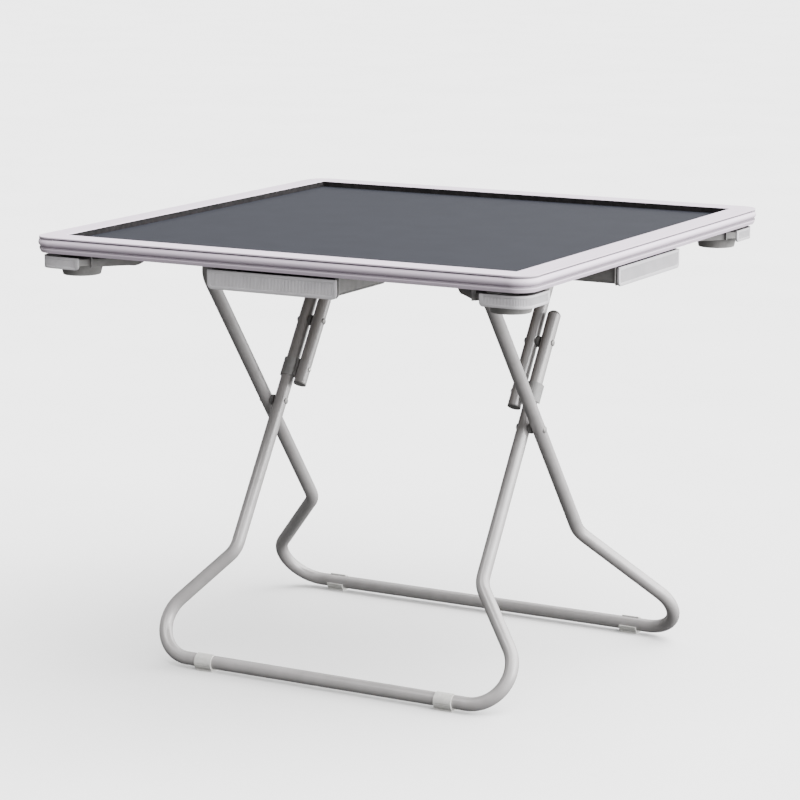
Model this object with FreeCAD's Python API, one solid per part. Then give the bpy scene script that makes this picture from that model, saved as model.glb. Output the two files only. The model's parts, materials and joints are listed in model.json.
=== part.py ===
import FreeCAD
import Part
import math
import os

# Folding game table: square tray top on two crossed tube frames and a link.
# Lengths in mm, +X to the table's right, +Y to its rear, +Z up, origin on
# the floor under the middle of the top.

# Overall
table_side = 880.0
table_height = 720.0
corner_radius = 34.0
running_gap = 0.3
pin_clearance = 0.05
overrun = 2.0

# Top: heights are drops below the upper edge of the rim
field_drop = 9.5
surface_thickness = 0.8
board_thickness = 8.0
board_edge_gap = 0.2

# Rail section: insets are measured inward from the outermost bead
corner_land = 8.0
lip_inset = 1.5
lip_bevel = 0.8
lip_edge_drop = 2.4
lip_under_drop = 4.0
groove_inset = 3.8
groove_height = 1.0
bead_height = 12.6
lower_groove_height = 1.2
skirt_inset = 1.6
skirt_shoulder_height = 2.8
skirt_slope_height = 5.4
skirt_foot_inset = 4.2
chamber_inset = 6.8
web_inset = 12.0
web_thickness = 2.0
upper_flange_thickness = 1.5
upper_flange_inset = 30.0
lower_flange_thickness = 2.0
lower_flange_inset = 28.0
spigot_length = 18.0
spigot_gap = 0.2
lining_width = 6.0

# Drawers
drawer_slot_height = 5.6
drawer_half_width = 110.0
drawer_depth = 24.0
drawer_wall = 1.8
drawer_bevel = 3.5
drawer_travel = 120.0
drawer_back_gap = 0.7
nose_length = 3.0
nose_height = 2.4
front_side_margin = 4.0
front_upper_margin = 1.0
front_lower_margin = 5.0
front_inset = 9.0
front_thickness = 3.5
front_corner_radius = 8.0
flute_pitch = 12.0
flute_width = 6.0
flute_depth = 0.8
flute_border = 5.0

# Drawer housings
housing_wall = 1.6
housing_setback = 2.5
housing_seat_gap = 0.2
housing_step_gap = 1.0
housing_lip_width = 4.0
housing_lip_thickness = 1.6
housing_ear_width = 13.0
housing_ear_start_inset = 40.0
housing_ear_thickness = 2.2
stop_lug_inset = 18.0
stop_lug_length = 4.2
stop_lug_width = 3.0
stop_lug_height = 4.6
stop_lug_gap = 0.4
housing_screw_inset_near = 60.0
housing_screw_back_margin = 27.0

# Corner cup trays, set out along the corner's diagonal
cup_setback = 82.4
cup_top_radius = 36.0
cup_bottom_radius = 30.0
cup_wall = 1.6
cup_depth = 29.5
tray_plate_thickness = 2.0
tray_half_width = 52.0
tray_skirt_height = 10.2
tray_skirt_wall = 1.5
tray_skirt_margin = 4.0
tray_rear_margin = 1.0
fascia_wall = 3.0
fascia_height = 19.0
fascia_length = 86.0
fascia_corner_radius = 6.0
fascia_border = 4.0
tray_plate_margin = 2.0
tongue_half_width = 29.0
tongue_flange_width = 3.6
tongue_thickness = 1.6
tongue_depth = 16.5
tongue_top_gap = 0.5
tongue_side_gap = 0.6
tongue_overhang = 13.0
tray_side_gap = 0.4
cup_housing_front_setback = 5.0
cup_housing_rear_offset = 66.8
cup_housing_roof_thickness = 1.5
cup_wing_length = 33.0
cup_wing_rear_height = 3.0
cup_wing_bulge_share = 0.24
cup_flange_width = 5.0
side_slot_length = 23.0
side_slot_height = 8.0
side_slot_margin = 6.5
ledge_rear_margin = 8.0
ledge_width = 7.5
ledge_thickness = 1.5
tail_length = 48.0
tail_rib_height = 19.5
tail_lip_thickness = 1.5
ear_front_margin = 5.0
ear_rear_margin = 9.0
ear_length = 25.0
ear_front_width = 12.0
ear_rear_width = 13.2

# Leg tubes
tube_radius = 11.0
tube_wall = 1.2
leg_gap = 5.0
fold_clearance = 2.8
rear_foot_inset = 182.5
front_foot_inset = 156.4
rear_hinge_inset = 194.0
link_hinge_inset = 290.0
link_pivot_reach = 149.6
front_tail = 49.5
foot_bend_radius = 60.0
knee_radius = 42.0
rear_knee_reach = 235.0
front_knee_reach = 194.0
rear_splay = 126.5
front_splay = 89.5
rear_top_bend_radius = 80.0
link_top_bend_radius = 40.0

# Rivets, spacers and plugs
rivet_radius = 4.0
rivet_head_radius = 8.0
rivet_head_height = 2.5
rivet_outer_head_height = 3.5
spacer_radius = 9.0
plug_depth = 15.0
plug_dome_height = 7.0
plug_cap_thickness = 2.0

# Hinge straps
strap_end_margin = 7.0
strap_width = 20.0
strap_thickness = 1.6
strap_flange = 14.0
strap_clearance = 0.5

# Foot clips and the snap clips
foot_clip_length = 31.0
foot_clip_wall = 3.0
foot_clip_drop = 1.0
foot_clip_sole_half_width = 9.0
foot_clip_sole_rise = 7.0
foot_clip_jaw_drop = 2.0
foot_clip_rim = 3.5
foot_clip_groove_width = 1.7
foot_clip_groove_depth = 0.8
rear_clip_margin = 33.0
front_clip_margin = 36.8
snap_reach = 89.5
snap_length = 31.0
snap_end_margin = 10.3
snap_wall = 2.5
snap_jaw = 5.0
snap_base_half_width = 8.0
snap_base_edge = 1.7
snap_neck_half_width = 5.0
snap_screw_radius = 2.0
snap_screw_head_radius = 4.0
snap_screw_bite = 1.2

# Wood screws
screw_radius = 1.75
screw_head_radius = 3.6
screw_head_height = 1.8
screw_bite = 6.0
corner_screw_inset = 35.0

# Counts
corner_flute_count = 4
bore_flat_count = 8
screw_side_count = 6
clip_groove_count = 4
clip_groove_angle = 14.0
clip_groove_start_share = 0.45
head_top_share = 0.6

# Derived: top and rail
half = table_side / 2
rail_width = corner_radius + corner_land
rail_half = half - rail_width
board_inset = web_inset + web_thickness + board_edge_gap
field_z = table_height - field_drop
board_top_z = field_z - surface_thickness
board_under_z = board_top_z - board_thickness
lower_flange_z = board_under_z - lower_flange_thickness
board_drop = table_height - board_under_z
flange_drop = table_height - lower_flange_z
bead_top_drop = lip_edge_drop + groove_height
bead_bottom_drop = bead_top_drop + bead_height
skirt_top_drop = bead_bottom_drop + lower_groove_height
skirt_shoulder_drop = skirt_top_drop + skirt_shoulder_height
rim_depth = skirt_shoulder_drop + skirt_slope_height

# Derived: legs
foot_height = tube_radius + foot_clip_wall + foot_clip_drop
hinge_z = board_under_z - tube_radius - running_gap
rear_foot_y = half - rear_foot_inset
front_foot_y = front_foot_inset - half
rear_hinge_y = rear_hinge_inset - half
link_hinge_y = half - link_hinge_inset
rear_run = rear_foot_y - rear_hinge_y
front_run = link_hinge_y - front_foot_y
cross_share = (link_hinge_y - rear_hinge_y) / (rear_run + front_run)
cross_drop = cross_share * (hinge_z - foot_height)
cross_y = rear_hinge_y + cross_share * rear_run
cross_height = hinge_z - cross_drop
rear_length = math.hypot(rear_foot_y - rear_hinge_y, hinge_z - foot_height)
front_to_cross = math.hypot(cross_y - front_foot_y, cross_height - foot_height)
cross_to_link_hinge = math.hypot(link_hinge_y - cross_y, cross_drop)
link_length = cross_to_link_hinge - link_pivot_reach
link_tail = snap_reach + snap_length / 2 + snap_end_margin
rear_angle = math.degrees(math.atan2(hinge_z - foot_height, rear_hinge_y - rear_foot_y))
front_angle = math.degrees(math.atan2(cross_height - foot_height, cross_y - front_foot_y))
front_top_reach = front_to_cross + link_pivot_reach + front_tail

# Derived: drawers end clear of the hinge straps, and the folded legs pass between the side drawers
strap_reach = tube_radius + running_gap + strap_thickness + strap_flange
housing_back_inset = rear_hinge_inset - strap_reach - strap_clearance
drawer_back_inset = housing_back_inset - housing_wall - drawer_back_gap
drawer_front_end_inset = front_inset + front_thickness
housing_front_inset = drawer_front_end_inset + housing_setback
housing_step_inset = lower_flange_inset + housing_step_gap
housing_top_drop = flange_drop + housing_seat_gap
housing_screw_inset_far = housing_back_inset - housing_screw_back_margin
drawer_top_drop = rim_depth + drawer_slot_height
drawer_bottom_drop = drawer_top_drop + drawer_depth
front_top_drop = drawer_top_drop - front_upper_margin
front_bottom_drop = drawer_bottom_drop + front_lower_margin
front_half_width = drawer_half_width + front_side_margin
flute_count = int((front_half_width - flute_border) * 2 / flute_pitch)
nose_inset = stop_lug_inset + stop_lug_length + drawer_travel
stop_lug_bottom_drop = drawer_top_drop - stop_lug_gap
stop_lug_top_drop = stop_lug_bottom_drop - stop_lug_height
rear_plane = half - housing_back_inset - fold_clearance - rivet_outer_head_height - tube_radius
front_plane = rear_plane - tube_radius * 2 - leg_gap
link_plane = front_plane - tube_radius * 2 - leg_gap
rear_foot_half_width = rear_plane + rear_splay
front_foot_half_width = front_plane + front_splay
rear_clip_offset = rear_foot_half_width - foot_bend_radius - rear_clip_margin
front_clip_offset = front_foot_half_width - foot_bend_radius - front_clip_margin
strap_offset = link_plane - link_top_bend_radius - strap_end_margin - strap_width / 2

# Derived: cup trays
corner_reach = half * math.sqrt(2)
cup_reach = corner_reach - cup_setback
fascia_top_drop = rim_depth + drawer_slot_height
fascia_bottom_drop = fascia_top_drop + fascia_height
fascia_end = half - fascia_length
tray_plate_drop = fascia_top_drop + tray_plate_margin
tray_skirt_drop = tray_plate_drop + tray_skirt_height
cup_bottom_drop = tray_plate_drop + cup_depth
cup_housing_front_reach = cup_reach - cup_housing_front_setback
cup_housing_rear_reach = cup_reach - cup_housing_rear_offset
cup_wing_reach = cup_housing_rear_reach - cup_wing_length
cup_housing_roof_drop = housing_top_drop + cup_housing_roof_thickness
cup_housing_half_width = tray_half_width + tray_side_gap + housing_wall
tray_rear_reach = cup_housing_rear_reach + tray_rear_margin
tray_skirt_rear_reach = tray_rear_reach + tray_skirt_margin
ledge_half_width = cup_housing_half_width - ledge_width
ledge_top_drop = tray_skirt_drop + running_gap
cup_housing_bottom_drop = ledge_top_drop + ledge_thickness
tongue_flange_half_width = tongue_half_width + tongue_flange_width
tongue_top_drop = cup_housing_roof_drop + tongue_top_gap
tongue_flange_drop = tongue_top_drop + tongue_thickness
tongue_bottom_drop = tongue_top_drop + tongue_depth
tail_reach = cup_housing_rear_reach - tail_length
tongue_rear_reach = tail_reach - tongue_overhang
tail_half_width = tongue_flange_half_width + tongue_side_gap + housing_wall
tail_lip_half_width = tongue_half_width + tongue_side_gap
tail_bottom_drop = housing_top_drop + tail_rib_height
tail_lip_top_drop = tongue_flange_drop + running_gap
tail_lip_bottom_drop = tail_lip_top_drop + tail_lip_thickness
ear_front_start_reach = cup_housing_rear_reach + ear_front_margin
ear_rear_start_reach = tail_reach + ear_rear_margin
ear_front_half_width = cup_housing_half_width + ear_front_width
ear_rear_half_width = tail_half_width + ear_rear_width
ear_screw_front_offset = ear_front_half_width - ear_front_width / 2
ear_screw_rear_offset = ear_rear_half_width - ear_rear_width / 2

X = FreeCAD.Vector(1, 0, 0)
Y = FreeCAD.Vector(0, 1, 0)
Z = FreeCAD.Vector(0, 0, 1)
O = FreeCAD.Vector(0, 0, 0)


def vec(x, y, z):
    return FreeCAD.Vector(x, y, z)


def save(name, shape):
    shape.exportStep("parts/" + name + ".step")


def group(shapes):
    return Part.makeCompound(shapes)


def span_box(x, y, z):
    """Box between the two values given for each axis."""
    low = vec(min(x), min(y), min(z))
    high = vec(max(x), max(y), max(z))
    size = high - low
    return Part.makeBox(size.x, size.y, size.z, low)


def turned(shape, angle, centre=O, axis=Z):
    copy = shape.copy()
    copy.rotate(centre, axis, angle)
    return copy


def mirrored(shape):
    return shape.mirror(O, X)


def closed_face(points):
    return Part.Face(Part.makePolygon(points + [points[0]]))


def below(drop):
    return table_height - drop


def round_square(inset, top, bottom):
    """Rounded square plate whose edge lies this far inside the bead."""
    reach = half - inset
    radius = corner_radius - inset
    plate = span_box((-reach, reach), (-reach, reach), (top, bottom))
    upright = [e for e in plate.Edges if abs(e.tangentAt(e.FirstParameter).z) > 0]
    return plate.makeFillet(radius, upright)


def corner_block(inset, top, bottom):
    """Plate over the corner square from the rail ends out to the inset."""
    reach = half - inset
    plate = span_box((rail_half, reach), (rail_half, reach), (top, bottom))
    radius = corner_radius - inset
    if radius <= 0:
        return plate
    edge = [e for e in plate.Edges if is_outer_upright(e, reach)]
    return plate.makeFillet(radius, edge)


def is_outer_upright(edge, reach):
    box = edge.BoundBox
    slack = running_gap
    return box.XMin > reach - slack and box.YMin > reach - slack


# Rails: one extruded section per side

def wall_edges(at):
    """Outer wall of the section from under the lip round to the foot."""
    middle = (bead_top_drop + bead_bottom_drop) / 2
    bead = Part.Arc(at(groove_inset, bead_top_drop), at(0, middle), at(groove_inset, bead_bottom_drop))
    return [
        Part.makeLine(at(groove_inset, lip_edge_drop), at(groove_inset, bead_top_drop)),
        bead.toShape(),
        Part.makeLine(at(groove_inset, bead_bottom_drop), at(groove_inset, skirt_top_drop)),
        Part.makeLine(at(groove_inset, skirt_top_drop), at(skirt_inset, skirt_top_drop)),
        Part.makeLine(at(skirt_inset, skirt_top_drop), at(skirt_inset, skirt_shoulder_drop)),
        Part.makeLine(at(skirt_inset, skirt_shoulder_drop), at(skirt_foot_inset, rim_depth)),
        Part.makeLine(at(skirt_foot_inset, rim_depth), at(chamber_inset, rim_depth)),
    ]


def line_run(points):
    return [Part.makeLine(a, b) for a, b in zip(points, points[1:])]


def rail():
    def at(inset, drop):
        return vec(-rail_half, inset - half, below(drop))

    web_inner = web_inset + web_thickness
    upper_drop = field_drop - upper_flange_thickness
    inner = line_run([
        at(chamber_inset, rim_depth),
        at(chamber_inset, flange_drop),
        at(lower_flange_inset, flange_drop),
        at(lower_flange_inset, board_drop),
        at(web_inner, board_drop),
        at(web_inner, field_drop),
        at(upper_flange_inset, field_drop),
        at(upper_flange_inset, upper_drop),
        at(web_inner, upper_drop),
        at(web_inner, lip_under_drop),
        at(rail_width, lip_under_drop),
        at(rail_width, lip_bevel),
        at(rail_width - lip_bevel, 0),
        at(lip_inset, 0),
        at(lip_inset, lip_edge_drop),
        at(groove_inset, lip_edge_drop),
    ])
    chamber = closed_face([
        at(chamber_inset, lip_under_drop),
        at(web_inset, lip_under_drop),
        at(web_inset, board_drop),
        at(chamber_inset, board_drop),
    ])
    section = Part.Face(Part.Wire(wall_edges(at) + inner)).cut(chamber)
    return section.extrude(X * (2 * rail_half))


# Corner pieces: moulded, same outer profile turned round the corner

def corner_piece():
    centre = vec(half - corner_radius, half - corner_radius, 0)

    def at(inset, drop):
        return vec(half - inset, half - corner_radius, below(drop))

    closing = line_run([
        at(chamber_inset, rim_depth),
        at(chamber_inset, lip_edge_drop),
        at(groove_inset, lip_edge_drop),
    ])
    section = Part.Face(Part.Wire(wall_edges(at) + closing))
    ring = section.revolve(centre, Z, 90)
    leg = section.extrude(Y * (corner_radius - rail_width))
    ring = ring.fuse([leg, swap_sides(leg)])
    lip = corner_block(lip_inset, table_height, below(lip_under_drop))
    bevelled = closed_face([
        vec(rail_half, rail_half, below(lip_under_drop)),
        vec(half, rail_half, below(lip_under_drop)),
        vec(half, rail_half, table_height),
        vec(rail_half + lip_bevel, rail_half, table_height),
        vec(rail_half, rail_half, below(lip_bevel)),
    ]).extrude(Y * rail_width)
    lip = lip.common(bevelled.fuse(swap_sides(bevelled)))
    lower = corner_block(chamber_inset, board_under_z, lower_flange_z)
    end = span_box((half - web_inset, half - chamber_inset), (rail_half, rail_half + web_thickness),
                   (below(lip_under_drop), board_under_z))
    spigot = span_box((half - web_inset + spigot_gap, half - chamber_inset - spigot_gap),
                      (rail_half - spigot_length, rail_half),
                      (below(lip_under_drop + spigot_gap), board_under_z + spigot_gap))
    piece = ring.fuse([lip, lower, end, swap_sides(end), spigot, swap_sides(spigot)])
    return piece.cut(corner_screw(pin_clearance)).removeSplitter()


def swap_sides(shape):
    """Mirror across the corner's diagonal."""
    return shape.mirror(O, (X - Y).normalize())


def corner_screw(gap):
    """Countersunk wood screw through the corner's floor into the board."""
    x = half - corner_screw_inset
    head = six_sided(screw_head_radius + gap, lower_flange_thickness / 2, x, x, lower_flange_z)
    return head.fuse(six_sided(screw_radius + gap, lower_flange_thickness + screw_bite, x, x, lower_flange_z))


def six_sided(radius, height, x, y, z):
    """Upright six-sided prism; small screws and their holes have six sides to hold the facets down."""
    ring = []
    for index in range(screw_side_count):
        turn = 2 * math.pi * index / screw_side_count
        ring.append(vec(x + radius * math.cos(turn), y + radius * math.sin(turn), z))
    return closed_face(ring).extrude(Z * height)


def lining_strip():
    """Black strip that closes the gap between lip and playing surface."""
    return span_box((-rail_half, rail_half), (-rail_half - lining_width, -rail_half),
                    (below(lip_under_drop), field_z))


# Wood screws under the board

def board_screws(gap):
    """Screws of the hinge straps and housings, with this much added round."""
    straps = []
    for hinge_y in (rear_hinge_y, link_hinge_y):
        for side in (-1, 1):
            for ward in (-1, 1):
                out = strap_reach - strap_flange / 2
                straps.append(wood_screw(side * strap_offset, hinge_y + ward * out, strap_thickness, gap))
    drawers = []
    cups = []
    for quarter in range(4):
        for side in (-1, 1):
            across = side * (housing_outer_half() + housing_ear_width / 2)
            for inset in (housing_screw_inset_near, housing_screw_inset_far):
                screw = wood_screw(across, inset - half, housing_ear_thickness, gap)
                drawers.append(turned(screw, 90 * quarter))
            for start, offset in ((ear_front_start_reach, ear_screw_front_offset),
                                  (ear_rear_start_reach, ear_screw_rear_offset)):
                grip = cup_housing_roof_drop - board_drop
                screw = wood_screw(start + ear_length / 2, side * offset, grip, gap)
                cups.append(turned(screw, 45 + 90 * quarter))
    return straps, drawers, cups


def wood_screw(x, y, grip, gap):
    """Pan head screw whose head seats under a plate of this thickness."""
    seat = board_under_z - grip
    shank = six_sided(screw_radius + gap, grip + screw_bite, x, y, seat)
    if gap:
        return shank
    return six_sided(screw_head_radius, screw_head_height, x, y, seat - screw_head_height).fuse(shank)


# Drawer housing and drawer, set out for the front side

def tub_section(half_width, top, bottom, bevel, y):
    """Upright face of a tub with bevelled lower corners."""
    flat = half_width - bevel
    lower = bottom + bevel
    return closed_face([
        vec(half_width, y, top),
        vec(half_width, y, lower),
        vec(flat, y, bottom),
        vec(-flat, y, bottom),
        vec(-half_width, y, lower),
        vec(-half_width, y, top),
    ])


def housing_inner_half():
    return drawer_half_width + running_gap


def housing_outer_half():
    return housing_inner_half() + housing_wall


def drawer_housing():
    front_y = housing_front_inset - half
    back_y = housing_back_inset - half
    step_y = housing_step_inset - half
    floor_top = below(drawer_bottom_drop) - running_gap
    floor_under = floor_top - housing_wall
    long = back_y - front_y
    outer = tub_section(housing_outer_half(), board_under_z, floor_under, drawer_bevel + housing_wall, front_y)
    inner = tub_section(housing_inner_half(), board_under_z, floor_top, drawer_bevel, front_y)
    shell = outer.extrude(Y * long).cut(inner.extrude(Y * (long - housing_wall)))
    wide = housing_outer_half() + housing_ear_width
    shell = shell.cut(span_box((-wide, wide), (front_y, step_y), (board_under_z, below(housing_top_drop))))
    lip_outer = tub_section(housing_outer_half() + housing_lip_width, below(housing_top_drop),
                            floor_under - housing_lip_width / 2, drawer_bevel + housing_wall, front_y)
    lip = lip_outer.cut(inner).extrude(Y * housing_lip_thickness)
    pieces = [lip]
    for side in (-1, 1):
        ear_y = (housing_ear_start_inset - half, back_y)
        ear_x = (side * housing_inner_half(), side * wide)
        pieces.append(span_box(ear_x, ear_y, (board_under_z, board_under_z - housing_ear_thickness)))
        lug_y = stop_lug_inset - half
        lug_x = (side * (housing_inner_half() - stop_lug_width), side * (housing_inner_half() + pin_clearance))
        pieces.append(span_box(lug_x, (lug_y, lug_y + stop_lug_length),
                               (below(stop_lug_top_drop), below(stop_lug_bottom_drop))))
    return shell.fuse(pieces).removeSplitter()


def drawer_tray():
    front_y = drawer_front_end_inset - half
    back_y = drawer_back_inset - half
    long = back_y - front_y
    top = below(drawer_top_drop)
    bottom = below(drawer_bottom_drop)
    outer = tub_section(drawer_half_width, top, bottom, drawer_bevel, front_y)
    inner = tub_section(drawer_half_width - drawer_wall, top, bottom + drawer_wall,
                        drawer_bevel, front_y + drawer_wall)
    tray = outer.extrude(Y * long).cut(inner.extrude(Y * (long - 2 * drawer_wall)))
    noses = []
    for side in (-1, 1):
        nose_x = (side * (drawer_half_width - drawer_wall), side * drawer_half_width)
        nose_y = nose_inset - half
        noses.append(span_box(nose_x, (nose_y, nose_y + nose_length), (top, top + nose_height)))
    return tray.fuse(noses).removeSplitter()


def drawer_front():
    front_y = front_inset - half
    panel = span_box((-front_half_width, front_half_width), (front_y, front_y + front_thickness),
                     (below(front_top_drop), below(front_bottom_drop)))
    panel = panel.makeFillet(front_corner_radius, [e for e in panel.Edges if is_low_end(e)])
    flutes = []
    for index in range(flute_count):
        x = (index - (flute_count - 1) / 2) * flute_pitch
        flutes.append(span_box((x - flute_width / 2, x + flute_width / 2), (front_y, front_y + flute_depth),
                               (below(front_top_drop + flute_border), below(front_bottom_drop - flute_border))))
    return panel.cut(group(flutes))


def is_low_end(edge):
    box = edge.BoundBox
    slack = running_gap
    return box.ZMax < below(front_bottom_drop) + slack and box.XLength < slack


# Corner cup trays: built in the rear right corner's diagonal frame

def along(reach, across, drop):
    """Block between two reaches along the diagonal, set out on +X."""
    return span_box(reach, across, (below(drop[0]), below(drop[1])))


def edge_plate(inset, top_drop, bottom_drop):
    """Rounded square plate turned so that a corner points along +X."""
    return turned(round_square(inset, below(top_drop), below(bottom_drop)), -45)


def cup_housing():
    front = cup_housing_front_reach
    rear = cup_housing_rear_reach
    roof = (housing_top_drop, cup_housing_roof_drop)
    wide = cup_housing_half_width
    pieces = [
        along((cup_wing_reach, front), (-wide, wide), roof),
        along((tail_reach, rear), (-tail_half_width, tail_half_width), roof),
    ]
    for side in (-1, 1):
        inner = side * (cup_housing_half_width - housing_wall)
        pieces.append(cup_housing_wall(inner).extrude(Y * (side * housing_wall)))
        pieces.append(along((front - housing_wall, front), (inner, side * (wide + cup_flange_width)),
                            (housing_top_drop, cup_housing_bottom_drop)))
        ledge = along((rear + ledge_rear_margin, front), (side * wide, side * ledge_half_width),
                      (ledge_top_drop, cup_housing_bottom_drop))
        pieces.append(ledge)
        rib = (side * tail_half_width, side * (tail_half_width - housing_wall))
        pieces.append(along((tail_reach, front), rib, (housing_top_drop, tail_lip_bottom_drop)))
        pieces.append(along((tail_reach, rear), rib, (housing_top_drop, tail_bottom_drop)))
        lip = (side * tail_half_width, side * tail_lip_half_width)
        pieces.append(along((tail_reach, front), lip, (tail_lip_top_drop, tail_lip_bottom_drop)))
        ear = (board_drop, cup_housing_roof_drop)
        pieces.append(along((ear_front_start_reach, ear_front_start_reach + ear_length),
                            (side * tail_half_width, side * ear_front_half_width), ear))
        pieces.append(along((ear_rear_start_reach, ear_rear_start_reach + ear_length),
                            (side * tail_lip_half_width, side * ear_rear_half_width), ear))
    return pieces[0].fuse(pieces[1:]).removeSplitter()


def cup_housing_wall(across):
    """Side wall with a rounded rear end and a slot behind its front flange."""
    front = cup_housing_front_reach
    rear = cup_housing_rear_reach
    bulge = (cup_housing_bottom_drop - housing_top_drop) * cup_wing_bulge_share

    def at(reach, drop):
        return vec(reach, across, below(drop))

    tip_drop = housing_top_drop + cup_wing_rear_height
    middle = at((rear + cup_wing_reach) / 2 - bulge, (cup_housing_bottom_drop + tip_drop) / 2 + bulge)
    rounding = Part.Arc(at(rear, cup_housing_bottom_drop), middle, at(cup_wing_reach, tip_drop)).toShape()
    edges = line_run([
        at(cup_wing_reach, tip_drop),
        at(cup_wing_reach, housing_top_drop),
        at(front, housing_top_drop),
        at(front, cup_housing_bottom_drop),
        at(rear, cup_housing_bottom_drop),
    ])
    slot_end = front - housing_wall
    slot_top = housing_top_drop + side_slot_margin
    slot = closed_face([
        at(slot_end, slot_top),
        at(slot_end, slot_top + side_slot_height),
        at(slot_end - side_slot_length, slot_top + side_slot_height),
        at(slot_end - side_slot_length, slot_top),
    ])
    return Part.Face(Part.Wire([rounding] + edges)).cut(slot)


def cup_tray():
    edge = edge_plate(front_inset + fascia_wall, tray_plate_drop, tray_skirt_drop)
    edge_inner = edge_plate(front_inset + fascia_wall + tray_skirt_wall,
                            tray_plate_drop + tray_plate_thickness, tray_skirt_drop)
    wide = tray_half_width
    cover = along((tray_rear_reach, corner_reach), (-wide, wide), (tray_plate_drop, tray_skirt_drop))
    inner_wide = wide - tray_skirt_wall
    hollow = along((tray_skirt_rear_reach, corner_reach), (-inner_wide, inner_wide),
                   (tray_plate_drop + tray_plate_thickness, tray_skirt_drop))
    hollow = hollow.common(edge_inner)
    behind = along((tray_rear_reach, tray_skirt_rear_reach), (-wide, wide),
                   (tray_plate_drop + tray_plate_thickness, tray_skirt_drop))
    body = cover.common(edge).cut(hollow.fuse(behind))
    flange = tongue_flange_half_width
    deep = tongue_half_width
    thick = tongue_thickness
    rear = tongue_rear_reach
    tongue = along((rear, tray_rear_reach), (-flange, flange), (tongue_top_drop, tongue_flange_drop))
    tongue = tongue.fuse(along((rear, tray_rear_reach), (-deep, deep), (tongue_top_drop, tongue_bottom_drop)))
    well = (-deep + thick, deep - thick)
    tongue = tongue.cut(along((rear + thick, tray_rear_reach - thick), well,
                              (tongue_top_drop, tongue_bottom_drop - thick)))
    joint = along((tray_rear_reach - thick, tray_skirt_rear_reach), (-deep, deep),
                  (tray_plate_drop, tray_plate_drop + tray_plate_thickness))
    centre = vec(cup_reach, 0, below(cup_bottom_drop))
    depth = cup_bottom_drop - tray_plate_drop
    cup = Part.makeCone(cup_bottom_radius, cup_top_radius + cup_wall, depth, centre)
    well_floor = centre + Z * cup_wall
    inside = Part.makeCone(cup_bottom_radius - cup_wall, cup_top_radius, depth - cup_wall, well_floor)
    return body.fuse([tongue, joint, cup]).cut(inside).removeSplitter()


def cup_front():
    """Fluted cover that wraps the corner in front of the cup tray."""
    outer = round_square(front_inset, below(fascia_top_drop), below(fascia_bottom_drop))
    inner = round_square(front_inset + fascia_wall, below(fascia_top_drop), below(fascia_bottom_drop))
    face = half - front_inset
    shell = outer.cut(inner)
    window = span_box((fascia_end, half), (fascia_end, half), (table_height, 0))
    shell = shell.common(window)
    notch = end_notch(face)
    shell = shell.cut(notch.fuse(swap_sides(notch)))
    grooves = []
    bottom = below(fascia_bottom_drop - fascia_border)
    top = below(fascia_top_drop + fascia_border)
    low = fascia_end + flute_border + flute_width
    run = half - corner_radius - low
    count = corner_flute_count // 2
    for index in range(count):
        y = low + run * index / (count - 1)
        groove = span_box((face - flute_depth, face), (y - flute_width / 2, y + flute_width / 2), (bottom, top))
        grooves.append(groove)
        grooves.append(swap_sides(groove))
    shell = shell.cut(group(grooves))
    return turned(shell, -45)


def end_notch(face):
    """Waste outside the rounded lower corner at one end of the cover."""
    radius = fascia_corner_radius
    bottom = below(fascia_bottom_drop)
    corner = span_box((face - fascia_wall - overrun, face + overrun), (fascia_end, fascia_end + radius),
                      (bottom, bottom + radius))
    start = vec(face - fascia_wall - overrun, fascia_end + radius, bottom + radius)
    round_off = Part.makeCylinder(radius, fascia_wall + 2 * overrun, start, X)
    return corner.cut(round_off)


# Bent tubes: lengths of tube and bends set out in a plane, then joined

def bent_tube(points, radii, closed):
    """Hollow round tube along a bent path in the XY plane."""
    count = len(points)
    cuts = []
    for index in range(count):
        point = vec(*points[index], 0)
        before = vec(*points[index - 1], 0)
        after = vec(*points[(index + 1) % count], 0)
        is_end = not closed and index in (0, count - 1)
        cuts.append(None if is_end else bend(before, point, after, radii[index]))
    pieces = []
    for index in range(count if closed else count - 1):
        follow = (index + 1) % count
        start = cuts[index][1] if cuts[index] else vec(*points[index], 0)
        end = cuts[follow][0] if cuts[follow] else vec(*points[follow], 0)
        run = end - start
        if run.Length > running_gap:
            pieces.append(ring_face(start, run).extrude(run))
    for cut in cuts:
        if cut:
            start, end, centre, turn, run = cut
            axis = Z if turn > 0 else Z * -1
            pieces.append(ring_face(start, run).revolve(centre, axis, abs(turn)))
    return pieces[0].fuse(pieces[1:]).removeSplitter()


def bend(before, point, after, radius):
    """Start, end, centre, turn and heading of the bend at one corner."""
    arrive = (point - before).normalize()
    leave = (after - point).normalize()
    turn = math.degrees(math.atan2(arrive.cross(leave).z, arrive.dot(leave)))
    trim = radius * math.tan(math.radians(abs(turn)) / 2)
    side = Z.cross(arrive) if turn > 0 else arrive.cross(Z)
    start = point - arrive * trim
    return start, point + leave * trim, start + side * radius, turn, arrive


def ring_face(place, heading):
    """Tube section across the heading; the bore has flats to hold the facets down."""
    disc = Part.Face(Part.Wire(Part.makeCircle(tube_radius, place, heading)))
    across = vec(*heading).normalize().cross(Z)
    step = math.pi / bore_flat_count
    reach = bore_flat_radius() / math.cos(step)
    ring = []
    for index in range(bore_flat_count):
        turn = step * (2 * index + 1)
        ring.append(place + Z * (reach * math.cos(turn)) + across * (reach * math.sin(turn)))
    return disc.cut(closed_face(ring))


def bore_flat_radius():
    """Half distance over the bore's flats that leaves the round bore's area."""
    step = math.pi / bore_flat_count
    return (tube_radius - tube_wall) * math.sqrt(step / math.tan(step))


def foot_corner(plane, knee, half_width):
    """Where the splayed leg would meet the foot bar without its bend."""
    centre_x = half_width - foot_bend_radius
    rise = knee - foot_bend_radius
    out = centre_x - plane
    lean = math.asin(foot_bend_radius / math.hypot(rise, out)) + math.atan2(out, rise)
    return plane + knee * math.tan(lean)


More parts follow.
